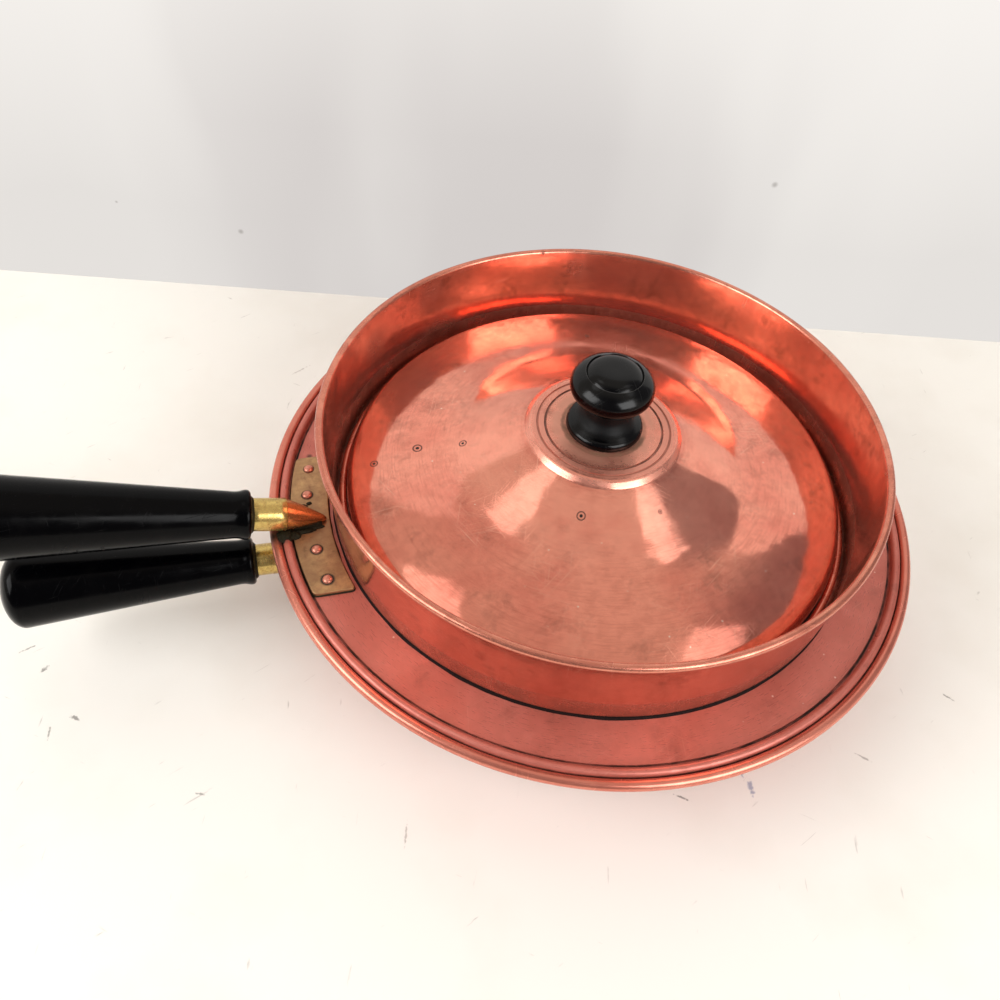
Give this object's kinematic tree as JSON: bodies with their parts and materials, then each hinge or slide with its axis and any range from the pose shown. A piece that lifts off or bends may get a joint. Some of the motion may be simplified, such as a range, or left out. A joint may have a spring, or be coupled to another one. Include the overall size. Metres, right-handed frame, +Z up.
{
  "type": "copper double boiler",
  "caption": "Round copper double boiler: a low water pan, a food pan with a wide flange nested in it, a domed lid sunk in the food pan, and black grips on riveted brass brackets.",
  "frame": {"origin": "centre of the water pan's base, on the surface it stands on", "axes": "+Z up along the pans' common axis; both handles point along -X; +Y by the right-hand rule"},
  "size_m": [0.4008, 0.29, 0.1294],
  "materials": {
    "copper": "hand polished copper, scratched and tarnished",
    "brass": "cast brass, worn and darkened",
    "steel": "plain steel",
    "black_phenolic": "glossy moulded phenolic"
  },
  "bodies": {
    "water_vessel": {"water_pan": "copper", "water_pan_wire": "steel", "lower_bracket": "brass", "lower_rivets": "copper", "lower_ferrule": "brass", "lower_grip": "black_phenolic", "lower_stud": "steel"},
    "food_vessel": {"food_pan": "copper", "food_pan_wire": "steel", "flange": "copper", "flange_wire": "steel", "upper_bracket": "brass", "upper_rivets": "copper", "upper_ferrule": "brass", "upper_grip": "black_phenolic", "upper_stud": "steel"},
    "cover": {"lid": "copper", "lid_wire": "steel", "knob": "black_phenolic", "knob_insert": "brass", "knob_screw": "steel", "knob_washer": "steel"}
  },
  "joints": [
    {"name": "food_pan_lift", "type": "slide", "parent": "water_vessel", "child": "food_vessel", "axis": [0, 0, 1], "range_m": [0, 0.06]},
    {"name": "lid_lift", "type": "slide", "parent": "food_vessel", "child": "cover", "axis": [0, 0, 1], "range_m": [0, 0.06]}
  ]
}
